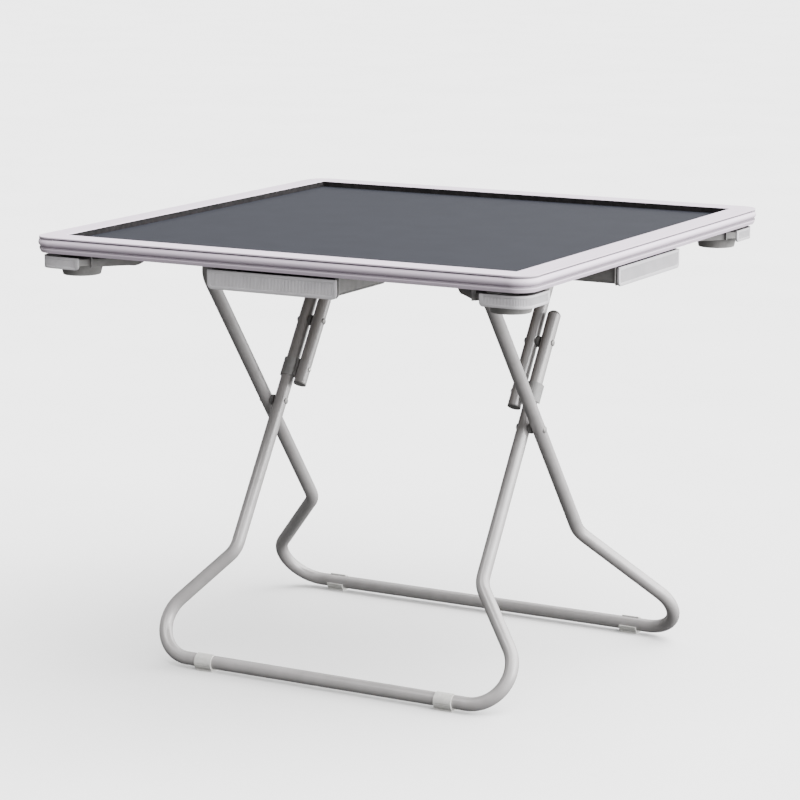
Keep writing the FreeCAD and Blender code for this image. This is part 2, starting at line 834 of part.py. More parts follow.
def rear_path():
    corner = foot_corner(rear_plane, rear_knee_reach, rear_foot_half_width)
    points = [
        (corner, 0),
        (rear_plane, rear_knee_reach),
        (rear_plane, rear_length),
        (-rear_plane, rear_length),
        (-rear_plane, rear_knee_reach),
        (-corner, 0),
    ]
    radii = [foot_bend_radius, knee_radius, rear_top_bend_radius,
             rear_top_bend_radius, knee_radius, foot_bend_radius]
    return points, radii


def front_path():
    corner = foot_corner(front_plane, front_knee_reach, front_foot_half_width)
    points = [
        (front_plane, front_top_reach),
        (front_plane, front_knee_reach),
        (corner, 0),
        (-corner, 0),
        (-front_plane, front_knee_reach),
        (-front_plane, front_top_reach),
    ]
    radii = [0, knee_radius, foot_bend_radius, foot_bend_radius, knee_radius, 0]
    return points, radii


def link_path():
    low = -link_length - link_tail
    points = [(link_plane, low), (link_plane, 0), (-link_plane, 0), (-link_plane, low)]
    radii = [0, link_top_bend_radius, link_top_bend_radius, 0]
    return points, radii


def stood(shape, angle, y, z):
    """Stand a shape drawn in XY up into the plane of its frame."""
    copy = turned(shape, angle, O, X)
    copy.translate(vec(0, y, z))
    return copy


def cross_pin(y, z, low, high, radius):
    return Part.makeCylinder(radius, high - low, vec(low, y, z), X)


def both(shape):
    return group([shape, mirrored(shape)])


def link_pivot():
    reach = front_to_cross + link_pivot_reach
    lean = math.radians(front_angle)
    return front_foot_y + reach * math.cos(lean), foot_height + reach * math.sin(lean)


def rear_frame():
    points, radii = rear_path()
    tube = bent_tube(points, radii, True)
    tube = stood(tube, rear_angle, rear_foot_y, foot_height)
    hole = cross_pin(cross_y, cross_height, rear_plane - 2 * tube_radius, rear_plane + 2 * tube_radius,
                     rivet_radius + pin_clearance)
    return tube.cut(both(hole))


def front_frame():
    points, radii = front_path()
    tube = bent_tube(points, radii, False)
    tube = stood(tube, front_angle, front_foot_y, foot_height)
    low = front_plane - 2 * tube_radius
    high = front_plane + 2 * tube_radius
    y, z = link_pivot()
    holes = [
        both(cross_pin(cross_y, cross_height, low, high, rivet_radius + pin_clearance)),
        both(cross_pin(y, z, low, high, rivet_radius + pin_clearance)),
    ]
    return tube.cut(holes[0]).cut(holes[1])


def link_frame():
    points, radii = link_path()
    tube = bent_tube(points, radii, False)
    tube = stood(tube, front_angle, link_hinge_y, hinge_z)
    low = link_plane - 2 * tube_radius
    high = link_plane + 2 * tube_radius
    y, z = link_pivot()
    snap_y, snap_z = snap_place()
    tube = tube.cut(both(cross_pin(y, z, low, high, rivet_radius + pin_clearance)))
    return tube.cut(both(cross_pin(snap_y, snap_z, low, high, snap_screw_radius + pin_clearance)))


def rivet_head(x, y, z, way, radius, height):
    """Tapered head that stands on the plane x, facing way."""
    return Part.makeCone(radius, radius * head_top_share, height, vec(x, y, z), X * way)


def rear_pivot_rivet():
    outer = rear_plane + tube_radius
    inner = front_plane + tube_radius + running_gap
    head = rivet_head(outer, cross_y, cross_height, 1, rivet_head_radius, rivet_outer_head_height)
    return head.fuse(cross_pin(cross_y, cross_height, inner, outer, rivet_radius)).removeSplitter()


def front_pivot_rivet():
    inner = front_plane - tube_radius
    head = rivet_head(inner, cross_y, cross_height, -1, rivet_head_radius, rivet_head_height)
    pin = cross_pin(cross_y, cross_height, inner, front_plane + tube_radius, rivet_radius)
    return head.fuse(pin).removeSplitter()


def link_pivot_rivet():
    y, z = link_pivot()
    inner = link_plane - tube_radius
    outer = front_plane + tube_radius + running_gap
    head = rivet_head(inner, y, z, -1, rivet_head_radius, rivet_head_height)
    cap = rivet_head(outer, y, z, 1, rivet_head_radius, rivet_head_height)
    return head.fuse([cross_pin(y, z, inner, outer, rivet_radius), cap]).removeSplitter()


def spacer(y, z, low, high):
    """Washer that keeps two leg tubes apart at their rivet."""
    ring = cross_pin(y, z, low, high, spacer_radius)
    return ring.cut(cross_pin(y, z, low, high, rivet_radius + pin_clearance))


def rear_spacer():
    inner = front_plane + tube_radius + running_gap
    return spacer(cross_y, cross_height, inner, rear_plane - tube_radius)


def link_spacer():
    y, z = link_pivot()
    return spacer(y, z, link_plane + tube_radius, front_plane - tube_radius - running_gap)


def front_plug():
    """Domed plug in the open top of a front leg tube."""
    bore = bore_flat_radius() - pin_clearance
    ball = (tube_radius * tube_radius + plug_dome_height * plug_dome_height) / (2 * plug_dome_height)
    top = front_top_reach + plug_dome_height
    side = math.sqrt(ball * ball - (tube_radius / 2) ** 2)

    def at(out, reach):
        return vec(front_plane + out, reach, 0)

    crown = Part.Arc(at(tube_radius, front_top_reach), at(tube_radius / 2, top - ball + side), at(0, top))
    outline = [crown.toShape()] + line_run([
        at(0, top),
        at(0, front_top_reach - plug_depth),
        at(bore, front_top_reach - plug_depth),
        at(bore, front_top_reach),
        at(tube_radius, front_top_reach),
    ])
    plug = Part.Face(Part.Wire(outline)).revolve(at(0, 0), Y, 360)
    return stood(plug, front_angle, front_foot_y, foot_height)


def link_plug():
    """Flat plug in the lower end of a link tube."""
    low = -link_length - link_tail
    bore = bore_flat_radius() - pin_clearance
    cap = Part.makeCylinder(tube_radius, plug_cap_thickness, vec(link_plane, low - plug_cap_thickness, 0), Y)
    stem = Part.makeCylinder(bore, plug_depth, vec(link_plane, low, 0), Y)
    return stood(cap.fuse(stem).removeSplitter(), front_angle, link_hinge_y, hinge_z)


# Hinge straps: sheet steel bent under the frames' top bars

def hinge_strap(hinge_y):
    inner = tube_radius + running_gap
    outer = inner + strap_thickness
    edge = strap_reach
    x = strap_offset - strap_width / 2
    under = board_under_z - strap_thickness

    def at(y, z):
        return vec(x, hinge_y + y, z)

    inside = Part.Arc(at(-inner, hinge_z), at(0, hinge_z - inner), at(inner, hinge_z)).toShape()
    outside = Part.Arc(at(outer, hinge_z), at(0, hinge_z - outer), at(-outer, hinge_z)).toShape()
    right = line_run([
        at(inner, hinge_z),
        at(inner, board_under_z),
        at(edge, board_under_z),
        at(edge, under),
        at(outer, under),
        at(outer, hinge_z),
    ])
    left = line_run([
        at(-outer, hinge_z),
        at(-outer, under),
        at(-edge, under),
        at(-edge, board_under_z),
        at(-inner, board_under_z),
        at(-inner, hinge_z),
    ])
    strap = Part.Face(Part.Wire([inside] + right + [outside] + left)).extrude(X * strap_width)
    for ward in (-1, 1):
        y = hinge_y + ward * (strap_reach - strap_flange / 2)
        strap = strap.cut(six_sided(screw_radius + pin_clearance, strap_thickness, strap_offset, y, under))
    return strap


# Clips

def foot_clip(x, foot_y, outward):
    """Ribbed rubber clip under a foot bar: thicker below, open on the inner side from crest to middle."""
    low = x - foot_clip_length / 2
    high = x + foot_clip_length / 2
    radius = tube_radius + foot_clip_wall
    middle = foot_height - foot_clip_drop
    body = cross_pin(foot_y, middle, low, high, radius)
    sole_y = (foot_y - foot_clip_sole_half_width, foot_y + foot_clip_sole_half_width)
    body = body.fuse(span_box((low, high), sole_y, (0, foot_clip_sole_rise)))
    bore = cross_pin(foot_y, foot_height, low, high, tube_radius + pin_clearance)
    mouth_y = (foot_y, foot_y - outward * (radius + overrun))
    mouth = span_box((low, high), mouth_y, (foot_height - foot_clip_jaw_drop, foot_height + radius + overrun))
    floor = radius - foot_clip_groove_depth
    grooves = []
    for side in (outward, -outward):
        groove = span_box((low + foot_clip_rim, high - foot_clip_rim),
                          (foot_y + side * floor, foot_y + side * (radius + overrun)),
                          (middle - foot_clip_groove_width / 2, middle + foot_clip_groove_width / 2))
        for index in range(0 if side == outward else 1, clip_groove_count):
            turn = clip_groove_angle * (index + clip_groove_start_share)
            grooves.append(turned(groove, -side * turn, vec(0, foot_y, middle), X))
    return body.cut(bore).cut(mouth).cut(group(grooves)).removeSplitter()


def snap_place():
    lean = math.radians(front_angle)
    y, z = link_pivot()
    return y - snap_reach * math.cos(lean), z - snap_reach * math.sin(lean)


def snap_clip():
    """Clip on the link that holds the front leg in line when open."""
    bore = tube_radius + running_gap
    outer = bore + snap_wall
    middle = front_to_cross + link_pivot_reach - snap_reach
    low = middle - snap_length / 2

    def rod(x, radius):
        return Part.makeCylinder(radius, snap_length, vec(x, low, 0), Y)

    jaws = span_box((front_plane - outer, front_plane + outer), (low, low + snap_length), (0, -snap_jaw))
    shell = rod(front_plane, outer).common(span_box((front_plane - outer, front_plane + outer),
                                                    (low, low + snap_length), (0, outer)))
    base_x = link_plane + tube_radius - snap_base_edge
    base_top = front_plane - outer + running_gap
    base = span_box((base_x, base_top), (low, low + snap_length), (-snap_base_half_width, snap_base_half_width))
    neck = span_box((base_x, front_plane - bore), (low, low + snap_length),
                    (-snap_neck_half_width, snap_neck_half_width))
    clip = shell.fuse([jaws, base, neck])
    hollow = rod(front_plane, bore).fuse(span_box((front_plane - bore, front_plane + bore),
                                                  (low, low + snap_length), (0, -snap_jaw)))
    clip = clip.cut(hollow).cut(rod(link_plane, tube_radius))
    clip = stood(clip, front_angle, front_foot_y, foot_height)
    return clip.cut(snap_screw(pin_clearance)).removeSplitter()


def snap_screw(gap):
    """Screw through the link tube into the clip's base."""
    y, z = snap_place()
    inner = link_plane - tube_radius
    tip = link_plane + tube_radius + snap_screw_bite
    pin = cross_pin(y, z, inner, tip, snap_screw_radius + gap)
    if gap:
        return pin
    head = rivet_head(inner, y, z, -1, snap_screw_head_radius, screw_head_height)
    return head.fuse(pin).removeSplitter()


def main():
    os.makedirs("parts", exist_ok=True)
    straps, drawers, cups = board_screws(pin_clearance)
    corner_holes = [turned(corner_screw(pin_clearance), 90 * quarter) for quarter in range(4)]
    board = round_square(board_inset, board_top_z, board_under_z)
    save("table_board", board.cut(group(straps + drawers + cups + corner_holes)))
    save("playing_surface", round_square(board_inset, field_z, board_top_z))
    save("lining_strips", group([turned(lining_strip(), 90 * quarter) for quarter in range(4)]))
    side_rail = rail()
    corner = corner_piece()
    cup_case = cup_housing().cut(group([turned(screw, -45) for screw in cups[:4]]))
    drawer_case = drawer_housing().cut(group(drawers[:4]))
    tray = drawer_tray()
    front = drawer_front()
    cup = cup_tray()
    cover = cup_front()
    sides = ("front", "right", "rear", "left")
    corners = ("rear_right", "rear_left", "front_left", "front_right")
    for quarter in range(4):
        side = sides[quarter]
        place = corners[quarter]
        save("rail_" + side, turned(side_rail, 90 * quarter))
        save("corner_" + place, turned(corner, 90 * quarter))
        save("drawer_housing_" + side, turned(drawer_case, 90 * quarter))
        save("drawer_tray_" + side, turned(tray, 90 * quarter))
        save("drawer_front_" + side, turned(front, 90 * quarter))
        save("cup_housing_" + place, turned(cup_case, 45 + 90 * quarter))
        save("cup_tray_" + place, turned(cup, 45 + 90 * quarter))
        save("cup_front_" + place, turned(cover, 45 + 90 * quarter))
    straps, drawers, cups = board_screws(0)
    save("hinge_strap_screws", group(straps))
    save("drawer_housing_screws", group(drawers))
    save("cup_housing_screws", group(cups))
    save("corner_screws", group([turned(corner_screw(0), 90 * quarter) for quarter in range(4)]))
    save("rear_hinge_straps", both(hinge_strap(rear_hinge_y)))
    save("link_hinge_straps", both(hinge_strap(link_hinge_y)))
    save("rear_leg_frame", rear_frame())
    save("rear_pivot_rivets", both(rear_pivot_rivet()))
    save("rear_pivot_spacers", both(rear_spacer()))
    save("rear_foot_clip_right", foot_clip(rear_clip_offset, rear_foot_y, 1))
    save("rear_foot_clip_left", foot_clip(-rear_clip_offset, rear_foot_y, 1))
    save("front_leg_frame", front_frame())
    save("front_pivot_rivets", both(front_pivot_rivet()))
    save("front_leg_plugs", both(front_plug()))
    save("front_foot_clip_right", foot_clip(front_clip_offset, front_foot_y, -1))
    save("front_foot_clip_left", foot_clip(-front_clip_offset, front_foot_y, -1))
    save("link_frame", link_frame())
    save("link_pivot_rivets", both(link_pivot_rivet()))
    save("link_spacers", both(link_spacer()))
    save("link_plugs", both(link_plug()))
    save("snap_clip_right", snap_clip())
    save("snap_clip_left", mirrored(snap_clip()))
    save("snap_clip_screws", both(snap_screw(0)))


main()
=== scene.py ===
import json
import math
import bmesh
import bpy
from bmesh.types import BMEdge, BMVert
from mathutils import Matrix, Quaternion, Vector

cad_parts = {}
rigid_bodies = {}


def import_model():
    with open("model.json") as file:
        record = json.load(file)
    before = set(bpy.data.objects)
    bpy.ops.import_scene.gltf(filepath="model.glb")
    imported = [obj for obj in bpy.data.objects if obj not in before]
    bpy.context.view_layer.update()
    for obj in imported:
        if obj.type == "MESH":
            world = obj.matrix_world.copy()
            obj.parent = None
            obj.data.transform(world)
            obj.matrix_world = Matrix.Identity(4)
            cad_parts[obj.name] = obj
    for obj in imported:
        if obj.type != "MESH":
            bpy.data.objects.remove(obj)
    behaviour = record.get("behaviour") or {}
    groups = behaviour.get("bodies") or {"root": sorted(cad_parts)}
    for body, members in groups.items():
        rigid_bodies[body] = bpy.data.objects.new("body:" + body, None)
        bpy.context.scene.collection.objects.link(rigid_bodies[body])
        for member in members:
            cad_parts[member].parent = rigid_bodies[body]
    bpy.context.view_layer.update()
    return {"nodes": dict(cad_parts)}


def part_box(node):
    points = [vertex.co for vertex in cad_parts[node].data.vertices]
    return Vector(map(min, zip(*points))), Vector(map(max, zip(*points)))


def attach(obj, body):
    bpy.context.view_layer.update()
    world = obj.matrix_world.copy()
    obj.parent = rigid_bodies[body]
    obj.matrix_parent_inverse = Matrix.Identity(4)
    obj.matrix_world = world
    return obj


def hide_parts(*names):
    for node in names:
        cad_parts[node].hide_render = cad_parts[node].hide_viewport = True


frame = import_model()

nodes = frame["nodes"]


# Table board: one square sheet of fibreboard that carries everything else.
# It is sawn to size, left bare underneath, and gripped on four edges by rails.

def cells(tree, size, detail, stretch):
    """Noise on the piece's own coordinates, with cells of this size in metres."""
    place = tree.nodes.new("ShaderNodeTexCoord")
    scaled = tree.nodes.new("ShaderNodeMapping")
    scaled.inputs["Scale"].default_value = stretch
    noise = tree.nodes.new("ShaderNodeTexNoise")
    noise.inputs["Scale"].default_value = 1 / size
    noise.inputs["Detail"].default_value = detail
    tree.links.new(place.outputs["Object"], scaled.inputs["Vector"])
    tree.links.new(scaled.outputs["Vector"], noise.inputs["Vector"])
    return noise.outputs["Fac"]


def finish(name, dark, light, mottle, roughness, grain, relief, metallic=0.0, specular=0.5,
           stretch=(1, 1, 1)):
    """Surface that wanders between two tones, with its own gloss and fine relief.

    The tones' cells are mottle metres wide, and those of gloss and relief grain metres.
    """
    material = bpy.data.materials.new(name)
    material.use_nodes = True
    tree = material.node_tree
    shader = tree.nodes["Principled BSDF"]
    shader.inputs["Metallic"].default_value = metallic
    shader.inputs["Specular IOR Level"].default_value = specular
    tone = tree.nodes.new("ShaderNodeValToRGB")
    tone.color_ramp.elements[0].position = 0.32
    tone.color_ramp.elements[0].color = (*dark, 1)
    tone.color_ramp.elements[1].position = 0.68
    tone.color_ramp.elements[1].color = (*light, 1)
    tree.links.new(cells(tree, mottle, detail=5, stretch=stretch), tone.inputs["Fac"])
    tree.links.new(tone.outputs["Color"], shader.inputs["Base Color"])
    fine = cells(tree, grain, detail=3, stretch=stretch)
    gloss = tree.nodes.new("ShaderNodeMapRange")
    gloss.inputs["To Min"].default_value = roughness[0]
    gloss.inputs["To Max"].default_value = roughness[1]
    tree.links.new(fine, gloss.inputs["Value"])
    tree.links.new(gloss.outputs["Result"], shader.inputs["Roughness"])
    bump = tree.nodes.new("ShaderNodeBump")
    bump.inputs["Strength"].default_value = 0.5
    bump.inputs["Distance"].default_value = relief
    tree.links.new(fine, bump.inputs["Height"])
    tree.links.new(bump.outputs["Normal"], shader.inputs["Normal"])
    return material


def dress(material, *names):
    """Give a finish to pieces that keep the shape they have in the frame."""
    for name in names:
        nodes[name].data.materials.clear()
        nodes[name].data.materials.append(material)


fibreboard = finish("bare_fibreboard", dark=(0.20, 0.135, 0.080), light=(0.29, 0.205, 0.125),
                    mottle=0.006, roughness=(0.75, 0.92), grain=0.0012, relief=0.00015, specular=0.2)
dress(fibreboard, "table_board")


# Playing surface: a thin laminated sheet glued over the board's top face.
# It is printed slate grey with a faint cloudy mottle and has a satin grain.

slate = finish("slate_laminate", dark=(0.0122, 0.0132, 0.0180), light=(0.0137, 0.0148, 0.0200),
               mottle=0.045, roughness=(0.55, 0.68), grain=0.0011, relief=0.00004, specular=0.08)
dress(slate, "playing_surface")


# Rails: four straight lengths of extruded plastic, lacquered pearl grey.
# Each has a flat lip, a round bead between two grooves, and a skirt.
# Their tone carries painted shade: darker in both grooves, on the bead's lower half and at the skirt's foot.

rim_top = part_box("rail_front")[1].z
painted_shade_height = 0.026
drawn_share = 0.02
# Painted shade by depth below the rim's top in metres, and the share of the tone left there.
depths_and_painted_shade_shares = (
    (0.0260, 0.90), (0.0200, 1.0), (0.0190, 0.85),
    (0.0182, 0.42), (0.0159, 0.42), (0.0152, 0.74),
    (0.0130, 0.85), (0.0090, 1.0), (0.0045, 0.85),
    (0.0038, 0.28), (0.0020, 0.28), (0.0016, 1.0))


def grey_ramp(tree, stops):
    """Ramp with a grey of this value at each of these places between 0 and 1."""
    ramp = tree.nodes.new("ShaderNodeValToRGB")
    elements = ramp.color_ramp.elements
    ready = len(elements)
    for index, (place, value) in enumerate(stops):
        stop = elements[index] if index < ready else elements.new(place)
        stop.position = place
        stop.color = (value, value, value, 1)
    return ramp


def paint_shade_in_grooves(material):
    """Paint shade into a rim tone: darker in its two grooves, on the bead's lower half and at the skirt's
    foot, by depth below the rim's top.
    """
    tree = material.node_tree
    tone = tree.nodes["Principled BSDF"].inputs["Base Color"]
    plain = tone.links[0].from_socket
    place = tree.nodes.new("ShaderNodeTexCoord")
    split = tree.nodes.new("ShaderNodeSeparateXYZ")
    tree.links.new(place.outputs["Object"], split.inputs["Vector"])
    height = tree.nodes.new("ShaderNodeMapRange")
    height.inputs["From Min"].default_value = rim_top - painted_shade_height
    height.inputs["From Max"].default_value = rim_top
    tree.links.new(split.outputs["Z"], height.inputs["Value"])
    painted_shade_ramp = grey_ramp(tree, [(1 - depth / painted_shade_height, share) for depth, share in depths_and_painted_shade_shares])
    tree.links.new(height.outputs["Result"], painted_shade_ramp.inputs["Fac"])
    painted_shade_product = tree.nodes.new("ShaderNodeVectorMath")
    painted_shade_product.operation = "MULTIPLY"
    tree.links.new(plain, painted_shade_product.inputs[0])
    tree.links.new(painted_shade_ramp.outputs["Color"], painted_shade_product.inputs[1])
    tree.links.new(painted_shade_product.outputs["Vector"], tone)


for axis, pair in enumerate((("front", "rear"), ("right", "left"))):
    drawn = [1, 1, 1]
    drawn[axis] = drawn_share
    lacquer = finish("rail_lacquer_" + "xy"[axis], dark=(0.60, 0.515, 0.61), light=(0.65, 0.565, 0.66),
                     mottle=0.004, roughness=(0.30, 0.40), grain=0.0016, relief=0.00003, stretch=drawn)
    # Painted shade in the grooves and under the bead.
    paint_shade_in_grooves(lacquer)
    dress(lacquer, *("rail_" + side for side in pair))


# Corners: moulded plastic caps that plug into the rail ends with spigots.
# They carry the rails' lip, bead and skirt round the turn, in nearly their tone, with the same painted shade
# in the grooves.

corner_names = ("rear_right", "rear_left", "front_left", "front_right")
corner_lacquer = finish("corner_lacquer", dark=(0.60, 0.52, 0.605), light=(0.645, 0.565, 0.65),
                        mottle=0.02, roughness=(0.32, 0.42), grain=0.0007, relief=0.00003)
# Painted shade in the grooves and under the bead, as on the rails.
paint_shade_in_grooves(corner_lacquer)
dress(corner_lacquer, *("corner_" + name for name in corner_names))


# Lining strips: black plastic strips pressed in between lip and surface.
# A thin flange stands up over the lip's cut edge and rings the field in black.

flange_thickness = 0.0005
flange_below_rim = 0.0006
weld = 1e-6
smooth_below = math.radians(35)
black_lining = finish("black_lining", dark=(0.010, 0.0095, 0.010), light=(0.020, 0.018, 0.019),
                      mottle=0.01, roughness=(0.65, 0.8), grain=0.0009, relief=0.00005, specular=0.06)


def make_piece(bm, name, body, slot, material, *replaced):
    """Close up a bmesh as a piece that rides on its body and stands for CAD nodes."""
    bmesh.ops.recalc_face_normals(bm, faces=bm.faces)
    mesh = bpy.data.meshes.new(name)
    bm.to_mesh(mesh)
    bm.free()
    mesh.shade_smooth()
    mesh.set_sharp_from_angle(angle=smooth_below)
    mesh.materials.append(material)
    piece = bpy.data.objects.new(name, mesh)
    bpy.context.scene.collection.objects.link(piece)
    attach(piece, body)
    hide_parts(*replaced)


def only(kind, geometry):
    """The points, edges or faces among what an operator gives back."""
    return [item for item in geometry if isinstance(item, kind)]


def closed_outline(bm, points):
    """Edges from each point to the next and back to the first."""
    ring = [bm.verts.new(point) for point in points]
    return [bm.edges.new(ends) for ends in zip(ring, ring[1:] + ring[:1])]


def pull(bm, edges, by):
    """Extrude edges by a step and give the far ones."""
    grown = bmesh.ops.extrude_edge_only(bm, edges=edges)["geom"]
    bmesh.ops.translate(bm, verts=only(BMVert, grown), vec=by)
    return only(BMEdge, grown)


def turn(bm, points, quarters):
    """Turn points from the first side or corner to another of the four."""
    quarter_turns = Matrix.Rotation(math.radians(90 * quarters), 3, "Z")
    bmesh.ops.rotate(bm, verts=points, cent=(0, 0, 0), matrix=quarter_turns)


strip_low, strip_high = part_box("lining_strips")
lip_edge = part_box("rail_front")[1].x
flange_face = lip_edge - flange_thickness
flange_top = rim_top - flange_below_rim
section = ((strip_low.y, strip_low.z), (-flange_face, strip_low.z), (-flange_face, flange_top),
           (-lip_edge, flange_top), (-lip_edge, strip_high.z), (strip_low.y, strip_high.z))
bm = bmesh.new()
for quarter in range(4):
    done = set(bm.verts)
    first = closed_outline(bm, [(-lip_edge, y, z) for y, z in section])
    last = pull(bm, first, (2 * lip_edge, 0, 0))
    bmesh.ops.contextual_create(bm, geom=first)
    bmesh.ops.contextual_create(bm, geom=last)
    for side in (-1, 1):
        fresh = [v for v in bm.verts if v not in done]
        fresh_edges = {e for v in fresh for e in v.link_edges}
        fresh_faces = {f for v in fresh for f in v.link_faces}
        mitred = bmesh.ops.bisect_plane(bm, geom=[*fresh, *fresh_edges, *fresh_faces], dist=weld,
                                        plane_co=(0, 0, 0), plane_no=(side, 1, 0), clear_outer=True)
        bmesh.ops.holes_fill(bm, edges=only(BMEdge, mitred["geom_cut"]))
    turn(bm, [v for v in bm.verts if v not in done], quarter)
make_piece(bm, "flanged_lining_strips", "table_top", "lining", black_lining, "lining_strips")


# Drawer housings: moulded grey channels under the board, one to each side.
# Each is held by four screws through ears and has a flange round its mouth.

sides = ("front", "right", "rear", "left")
housing_plastic = finish("housing_plastic", dark=(0.185, 0.180, 0.178), light=(0.225, 0.220, 0.216),
                         mottle=0.012, roughness=(0.46, 0.60), grain=0.0006, relief=0.00006, specular=0.4)
dress(housing_plastic, *("drawer_housing_" + side for side in sides))


# Drawer trays: shallow troughs for tiles and counters, moulded in the
# housings' grey. They slide in the housings and stop on lugs.

tray_plastic = finish("tray_plastic", dark=(0.185, 0.180, 0.175), light=(0.225, 0.220, 0.214),
                      mottle=0.015, roughness=(0.42, 0.55), grain=0.0006, relief=0.00005, specular=0.45)
dress(tray_plastic, *("drawer_tray_" + side for side in sides))


# Drawer fronts: moulded plates fixed on the trays' ends, pearl grey and satin.
# A plain border frames a sunk field of fine upright ribs. The two lower
# corners are rounded.

front_corner = 0.008
front_border = 0.005
field_depth = 0.0008
rib_pitch = 0.0025
rib_radius = 0.0009
edge_break = 0.0003
sharp_above = math.radians(40)
front_plastic = finish("front_plastic", dark=(0.395, 0.385, 0.40), light=(0.445, 0.435, 0.45),
                       mottle=0.02, roughness=(0.34, 0.46), grain=0.0008, relief=0.00003)


def rib(bm, x, y, low, high):
    """Upright half-sunk rib of the field, from border to border."""
    middle = Matrix.Translation((x, y, (low + high) / 2))
    bmesh.ops.create_cone(bm, cap_ends=True, segments=8, radius1=rib_radius, radius2=rib_radius,
                          depth=high - low, matrix=middle)


def round_off(bm, edges, radius, segments):
    """Round these edges."""
    bmesh.ops.bevel(bm, geom=edges, affect="EDGES", offset=radius, segments=segments, profile=0.5,
                    material=-1)


def break_edges(bm):
    """Take the sharpness off every edge."""
    sharp = [e for e in bm.edges if e.is_manifold and e.calc_face_angle() > sharp_above]
    round_off(bm, sharp, edge_break, segments=2)


def block(bm, low, high):
    """Box between two corners. Gives its points."""
    stretched = Matrix.Translation((low + high) / 2) @ Matrix.Diagonal((*(high - low), 1))
    return bmesh.ops.create_cube(bm, size=1, matrix=stretched)["verts"]


front_low, front_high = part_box("drawer_front_front")
field_half_width = front_high.x - front_border
field_rib_count = int(2 * field_half_width / rib_pitch)
for quarter, side in enumerate(sides):
    bm = bmesh.new()
    block(bm, front_low, front_high)
    lower_corners = [e for e in bm.edges if abs(e.verts[0].co.y - e.verts[1].co.y) > edge_break
                     and max(v.co.z for v in e.verts) < front_low.z + edge_break]
    round_off(bm, lower_corners, front_corner, segments=8)
    field = [f for f in bm.faces if f.calc_center_median().y < front_low.y + edge_break]
    bmesh.ops.inset_region(bm, faces=field, thickness=front_border, depth=0, use_even_offset=True)
    bmesh.ops.inset_region(bm, faces=field, thickness=edge_break, depth=-field_depth, use_even_offset=True)
    break_edges(bm)
    for index in range(field_rib_count):
        x = (index - (field_rib_count - 1) / 2) * rib_pitch
        lift = max(0.0, front_corner - front_border - (field_half_width - abs(x)))
        rib(bm, x, front_low.y + rib_radius, front_low.z + front_border + lift, front_high.z - front_border)
    turn(bm, bm.verts, quarter)
    make_piece(bm, "ribbed_drawer_front_" + side, "drawer_" + side, "front", front_plastic,
               "drawer_front_" + side)


# Cup housings: moulded grey channels set across the four corners.
# They hang from the board by screwed ears; the tray's tongue runs in the tail.

dress(housing_plastic, *("cup_housing_" + name for name in corner_names))


# Cup trays: moulded plates with a round well for a glass and a long tongue.
# They pull out along the corner's diagonal; same plastic as the drawer trays.

dress(tray_plastic, *("cup_tray_" + name for name in corner_names))


# Cup fronts: moulded covers that wrap the corner in front of each cup tray.
# They have the drawer fronts' border and fine upright ribs, bent round a turn.

cover_wall = 0.003
cover_border = 0.004
cover_end = 0.007
cover_foot_radius = 0.006
cover_rib_pitch = 0.0023
cover_turn_radius = 0.025
cover_low, cover_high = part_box("cup_front_rear_right")
turn_centre = Vector((cover_high.x - cover_turn_radius, cover_high.y - cover_turn_radius, 0))
mirror_diagonal = Matrix(((0, 1, 0, 0), (1, 0, 0, 0), (0, 0, 1, 0), (0, 0, 0, 1)))


def cover_strip(bm):
    """Bordered strip swept along one side, round the corner and along the other."""
    outer = cover_high.x
    sunk = outer - field_depth
    inner = outer - cover_wall
    upper = cover_high.z - cover_border
    lower = cover_low.z + cover_border
    start = cover_low.y + cover_end
    section = ((outer, cover_high.z), (outer, upper), (sunk, upper - edge_break), (sunk, lower + edge_break),
               (outer, lower), (outer, cover_low.z), (inner, cover_low.z), (inner, cover_high.z))
    first = closed_outline(bm, [(x, start, z) for x, z in section])
    edges = pull(bm, first, (0, turn_centre.y - start, 0))
    turned = bmesh.ops.spin(bm, geom=edges, cent=turn_centre, axis=(0, 0, 1), angle=math.radians(90),
                            steps=16)
    last = pull(bm, only(BMEdge, turned["geom_last"]), (start - turn_centre.x, 0, 0))
    bmesh.ops.contextual_create(bm, geom=first)
    bmesh.ops.contextual_create(bm, geom=last)


def cover_end_blocks(bm):
    """Plain upright border at either end of the cover, its lower corner rounded."""
    block_low = Vector((cover_high.x - cover_wall, cover_low.y, cover_low.z))
    block_high = Vector((cover_high.x, cover_low.y + cover_end, cover_high.z))
    block(bm, block_low, block_high)
    foot = [e for e in bm.edges if all(v.co.z < cover_low.z + edge_break
                                       and v.co.y < cover_low.y + edge_break for v in e.verts)]
    round_off(bm, foot, cover_foot_radius, segments=6)
    copied = bmesh.ops.duplicate(bm, geom=bm.verts[:] + bm.edges[:] + bm.faces[:])["geom"]
    bmesh.ops.transform(bm, matrix=mirror_diagonal, verts=only(BMVert, copied))


straight_run = turn_centre.y - cover_low.y - cover_end
arc_radius = cover_turn_radius - rib_radius
arc_run = arc_radius * math.pi / 2
ribbed_run = 2 * straight_run + arc_run
cover_rib_count = int(ribbed_run / cover_rib_pitch)


def cover_rib_place(along):
    """Centre of the rib this far along the face from the first end's border."""
    if along < straight_run:
        return Vector((cover_high.x - rib_radius, cover_low.y + cover_end + along))
    if along < straight_run + arc_run:
        angle = (along - straight_run) / arc_radius
        return turn_centre.xy + arc_radius * Vector((math.cos(angle), math.sin(angle)))
    return Vector((turn_centre.x - (along - straight_run - arc_run), cover_high.y - rib_radius))


